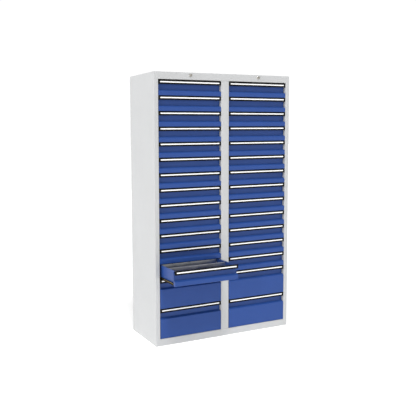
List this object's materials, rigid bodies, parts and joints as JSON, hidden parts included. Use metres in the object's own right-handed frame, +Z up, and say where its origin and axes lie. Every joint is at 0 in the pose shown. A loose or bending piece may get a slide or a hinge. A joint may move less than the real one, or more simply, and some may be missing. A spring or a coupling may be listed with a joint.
{
  "type": "drawer parts cabinet",
  "caption": "Tall sheet-steel cabinet with side-by-side columns of sliding drawers, recessed full-width grips, label strips and a key lock over each column.",
  "frame": {"origin": "centre of the carcass footprint on the floor, at the underside of the base", "axes": "+Z up, -Y out of the drawer fronts, +X to the right when facing the drawers"},
  "size_m": [1.055, 0.62, 1.8],
  "materials": {
    "grey_paint": "light grey powder coat, satin with a fine texture",
    "blue_paint": "blue powder coat, satin",
    "zinc_steel": "zinc plated and passivated",
    "nylon": "natural nylon",
    "nickel": "nickel plate",
    "black_plastic": "black extruded plastic, satin",
    "label_card": "white card under clear film"
  },
  "bodies": {
    "cabinet": {"side_panel_left": "grey_paint", "side_panel_right": "grey_paint", "top_panel": "grey_paint", "header_rail": "grey_paint", "plinth_rail": "grey_paint", "base_pan": "grey_paint", "back_panel": "grey_paint", "front_mullion": "grey_paint", "partition_panel": "grey_paint", "back_panel_rivets": "nickel", "uprights_left_bay": "zinc_steel", "uprights_right_bay": "zinc_steel", "slide_rails_left_bay": "zinc_steel", "slide_rails_right_bay": "zinc_steel", "lock_shaft_bearings": "zinc_steel", "front_glides_left_bay": "nylon", "front_glides_right_bay": "nylon", "lock_bar_guides": "nylon", "lock_housing_left": "nickel", "lock_housing_right": "nickel"},
    "lock_left": {"lock_cylinder_left": "nickel", "key_left": "nickel", "lock_shaft_left": "zinc_steel"},
    "locking_bar_left": {"lock_bar_left": "zinc_steel"},
    "lock_right": {"lock_cylinder_right": "nickel", "key_right": "nickel", "lock_shaft_right": "zinc_steel"},
    "locking_bar_right": {"lock_bar_right": "zinc_steel"},
    "drawer_L01": {"drawer_L01": "blue_paint"},
    "drawer_L02": {"drawer_L02": "blue_paint"},
    "drawer_L03": {"drawer_L03": "blue_paint"},
    "drawer_L04": {"drawer_L04": "blue_paint"},
    "drawer_L05": {"drawer_L05": "blue_paint"},
    "drawer_L06": {"drawer_L06": "blue_paint"},
    "drawer_L07": {"drawer_L07": "blue_paint"},
    "drawer_L08": {"drawer_L08": "blue_paint"},
    "drawer_L09": {"drawer_L09": "blue_paint"},
    "drawer_L10": {"drawer_L10": "blue_paint"},
    "drawer_L11": {"drawer_L11": "blue_paint"},
    "drawer_L12": {"drawer_L12": "blue_paint"},
    "drawer_L13": {"drawer_L13": "blue_paint", "drawer_L13_dividers": "zinc_steel"},
    "drawer_L14": {"drawer_L14": "blue_paint"},
    "drawer_L15": {"drawer_L15": "blue_paint"},
    "drawer_R01": {"drawer_R01": "blue_paint"},
    "drawer_R02": {"drawer_R02": "blue_paint"},
    "drawer_R03": {"drawer_R03": "blue_paint"},
    "drawer_R04": {"drawer_R04": "blue_paint"},
    "drawer_R05": {"drawer_R05": "blue_paint"},
    "drawer_R06": {"drawer_R06": "blue_paint"},
    "drawer_R07": {"drawer_R07": "blue_paint"},
    "drawer_R08": {"drawer_R08": "blue_paint"},
    "drawer_R09": {"drawer_R09": "blue_paint"},
    "drawer_R10": {"drawer_R10": "blue_paint"},
    "drawer_R11": {"drawer_R11": "blue_paint"},
    "drawer_R12": {"drawer_R12": "blue_paint"},
    "drawer_R13": {"drawer_R13": "blue_paint"},
    "drawer_R14": {"drawer_R14": "blue_paint"},
    "drawer_R15": {"drawer_R15": "blue_paint"}
  },
  "joints": [
    {"name": "lock_left_turn", "type": "hinge", "parent": "cabinet", "child": "lock_left", "pos_m": [-0.26325, -0.2, 1.7816], "axis": [0, 1, 0], "range_deg": [0, 90]},
    {"name": "lock_right_turn", "type": "hinge", "parent": "cabinet", "child": "lock_right", "pos_m": [0.26325, -0.2, 1.7816], "axis": [0, 1, 0], "range_deg": [0, 90]},
    {"name": "locking_bar_left_lift", "type": "slide", "parent": "cabinet", "child": "locking_bar_left", "axis": [0, 0, 1], "range_m": [0, 0.01061]},
    {"name": "locking_bar_right_lift", "type": "slide", "parent": "cabinet", "child": "locking_bar_right", "axis": [0, 0, 1], "range_m": [0, 0.01061]},
    {"name": "drawer_L13_slide", "type": "slide", "parent": "cabinet", "child": "drawer_L13", "axis": [0, -1, 0], "range_m": [-0.22, 0.08]},
    {"name": "drawer_L01_slide", "type": "slide", "parent": "cabinet", "child": "drawer_L01", "axis": [0, -1, 0], "range_m": [0, 0.3]},
    {"name": "drawer_R01_slide", "type": "slide", "parent": "cabinet", "child": "drawer_R01", "axis": [0, -1, 0], "range_m": [0, 0.3]},
    {"name": "drawer_L15_slide", "type": "slide", "parent": "cabinet", "child": "drawer_L15", "axis": [0, -1, 0], "range_m": [0, 0.3]},
    {"name": "drawer_R15_slide", "type": "slide", "parent": "cabinet", "child": "drawer_R15", "axis": [0, -1, 0], "range_m": [0, 0.3]},
    {"name": "drawer_L12_slide", "type": "slide", "parent": "cabinet", "child": "drawer_L12", "axis": [0, -1, 0], "range_m": [0, 0.3]},
    {"name": "drawer_L14_slide", "type": "slide", "parent": "cabinet", "child": "drawer_L14", "axis": [0, -1, 0], "range_m": [0, 0.3]},
    {"name": "drawer_R13_slide", "type": "slide", "parent": "cabinet", "child": "drawer_R13", "axis": [0, -1, 0], "range_m": [0, 0.3]},
    {"name": "drawer_R14_slide", "type": "slide", "parent": "cabinet", "child": "drawer_R14", "axis": [0, -1, 0], "range_m": [0, 0.3]},
    {"name": "drawer_L02_slide", "type": "slide", "parent": "cabinet", "child": "drawer_L02", "axis": [0, -1, 0], "range_m": [0, 0.3]},
    {"name": "drawer_L03_slide", "type": "slide", "parent": "cabinet", "child": "drawer_L03", "axis": [0, -1, 0], "range_m": [0, 0.3]},
    {"name": "drawer_L04_slide", "type": "slide", "parent": "cabinet", "child": "drawer_L04", "axis": [0, -1, 0], "range_m": [0, 0.3]},
    {"name": "drawer_L05_slide", "type": "slide", "parent": "cabinet", "child": "drawer_L05", "axis": [0, -1, 0], "range_m": [0, 0.3]},
    {"name": "drawer_L06_slide", "type": "slide", "parent": "cabinet", "child": "drawer_L06", "axis": [0, -1, 0], "range_m": [0, 0.3]},
    {"name": "drawer_L07_slide", "type": "slide", "parent": "cabinet", "child": "drawer_L07", "axis": [0, -1, 0], "range_m": [0, 0.3]},
    {"name": "drawer_L08_slide", "type": "slide", "parent": "cabinet", "child": "drawer_L08", "axis": [0, -1, 0], "range_m": [0, 0.3]},
    {"name": "drawer_L09_slide", "type": "slide", "parent": "cabinet", "child": "drawer_L09", "axis": [0, -1, 0], "range_m": [0, 0.3]},
    {"name": "drawer_L10_slide", "type": "slide", "parent": "cabinet", "child": "drawer_L10", "axis": [0, -1, 0], "range_m": [0, 0.3]},
    {"name": "drawer_L11_slide", "type": "slide", "parent": "cabinet", "child": "drawer_L11", "axis": [0, -1, 0], "range_m": [0, 0.3]},
    {"name": "drawer_R02_slide", "type": "slide", "parent": "cabinet", "child": "drawer_R02", "axis": [0, -1, 0], "range_m": [0, 0.3]},
    {"name": "drawer_R03_slide", "type": "slide", "parent": "cabinet", "child": "drawer_R03", "axis": [0, -1, 0], "range_m": [0, 0.3]},
    {"name": "drawer_R04_slide", "type": "slide", "parent": "cabinet", "child": "drawer_R04", "axis": [0, -1, 0], "range_m": [0, 0.3]},
    {"name": "drawer_R05_slide", "type": "slide", "parent": "cabinet", "child": "drawer_R05", "axis": [0, -1, 0], "range_m": [0, 0.3]},
    {"name": "drawer_R06_slide", "type": "slide", "parent": "cabinet", "child": "drawer_R06", "axis": [0, -1, 0], "range_m": [0, 0.3]},
    {"name": "drawer_R07_slide", "type": "slide", "parent": "cabinet", "child": "drawer_R07", "axis": [0, -1, 0], "range_m": [0, 0.3]},
    {"name": "drawer_R08_slide", "type": "slide", "parent": "cabinet", "child": "drawer_R08", "axis": [0, -1, 0], "range_m": [0, 0.3]},
    {"name": "drawer_R09_slide", "type": "slide", "parent": "cabinet", "child": "drawer_R09", "axis": [0, -1, 0], "range_m": [0, 0.3]},
    {"name": "drawer_R10_slide", "type": "slide", "parent": "cabinet", "child": "drawer_R10", "axis": [0, -1, 0], "range_m": [0, 0.3]},
    {"name": "drawer_R11_slide", "type": "slide", "parent": "cabinet", "child": "drawer_R11", "axis": [0, -1, 0], "range_m": [0, 0.3]},
    {"name": "drawer_R12_slide", "type": "slide", "parent": "cabinet", "child": "drawer_R12", "axis": [0, -1, 0], "range_m": [0, 0.3]}
  ],
  "couplings": [
    {"joint": "lock_left_turn", "follows": "locking_bar_left_lift", "rad_per_m": 148.1},
    {"joint": "lock_right_turn", "follows": "locking_bar_right_lift", "rad_per_m": 148.1}
  ]
}
